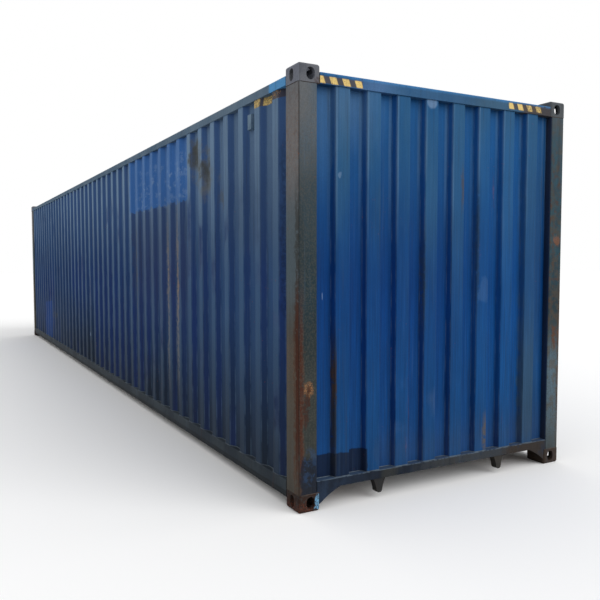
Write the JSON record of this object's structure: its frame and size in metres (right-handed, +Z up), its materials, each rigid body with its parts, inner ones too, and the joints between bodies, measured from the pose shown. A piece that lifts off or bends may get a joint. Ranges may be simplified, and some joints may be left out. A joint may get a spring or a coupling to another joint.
{
  "type": "shipping container",
  "caption": "Long high steel freight container with ribbed walls, holed corner fittings, a closed front end with a gooseneck recess, and closed rear doors.",
  "frame": {"origin": "on the ground under the middle of the box, level with the undersides of the bottom corner fittings", "axes": "+X to the closed front end, +Y to the container's left side, +Z up"},
  "size_m": [12.192, 2.438, 2.896],
  "materials": {
    "wall_paint": "weathered blue paint, satin, chalky on the ribs",
    "frame_paint": "faded blue-grey paint with rust",
    "fitting_steel": "worn cast steel with rust",
    "underside_coat": "dull black coating",
    "floor_ply": "sealed plywood",
    "door_seal": "matt black rubber",
    "zinc_gear": "dull zinc",
    "vent_plastic": "faded pale blue plastic"
  },
  "bodies": {
    "root": {"front_wall": "wall_paint", "side_wall_left": "wall_paint", "side_wall_right": "wall_paint", "roof_panel": "wall_paint", "roof_end_plate_front": "wall_paint", "roof_end_plate_rear": "wall_paint", "door_panel_left": "wall_paint", "door_panel_right": "wall_paint", "door_frame_left": "wall_paint", "door_frame_right": "wall_paint", "front_post_left": "frame_paint", "front_post_right": "frame_paint", "rear_post_left": "frame_paint", "rear_post_right": "frame_paint", "top_side_rail_left": "frame_paint", "top_side_rail_right": "frame_paint", "bottom_side_rail_left": "frame_paint", "bottom_side_rail_right": "frame_paint", "front_header": "frame_paint", "front_sill": "frame_paint", "front_gussets": "frame_paint", "gooseneck_lugs": "frame_paint", "door_header": "frame_paint", "door_sill": "frame_paint", "corner_fittings_front_top": "fitting_steel", "corner_fittings_front_bottom": "fitting_steel", "corner_fittings_rear_top": "fitting_steel", "corner_fittings_rear_bottom": "fitting_steel", "cross_members": "underside_coat", "outriggers_left": "underside_coat", "outriggers_right": "underside_coat", "tunnel_plate": "underside_coat", "tunnel_bows": "underside_coat", "tunnel_rail_left": "underside_coat", "tunnel_rail_right": "underside_coat", "floor_deck": "floor_ply", "door_gaskets": "door_seal", "locking_bars": "zinc_gear", "cam_keepers": "zinc_gear", "bar_brackets": "zinc_gear", "door_handles": "zinc_gear", "door_hinges": "zinc_gear", "ventilators": "vent_plastic"}
  },
  "joints": []
}
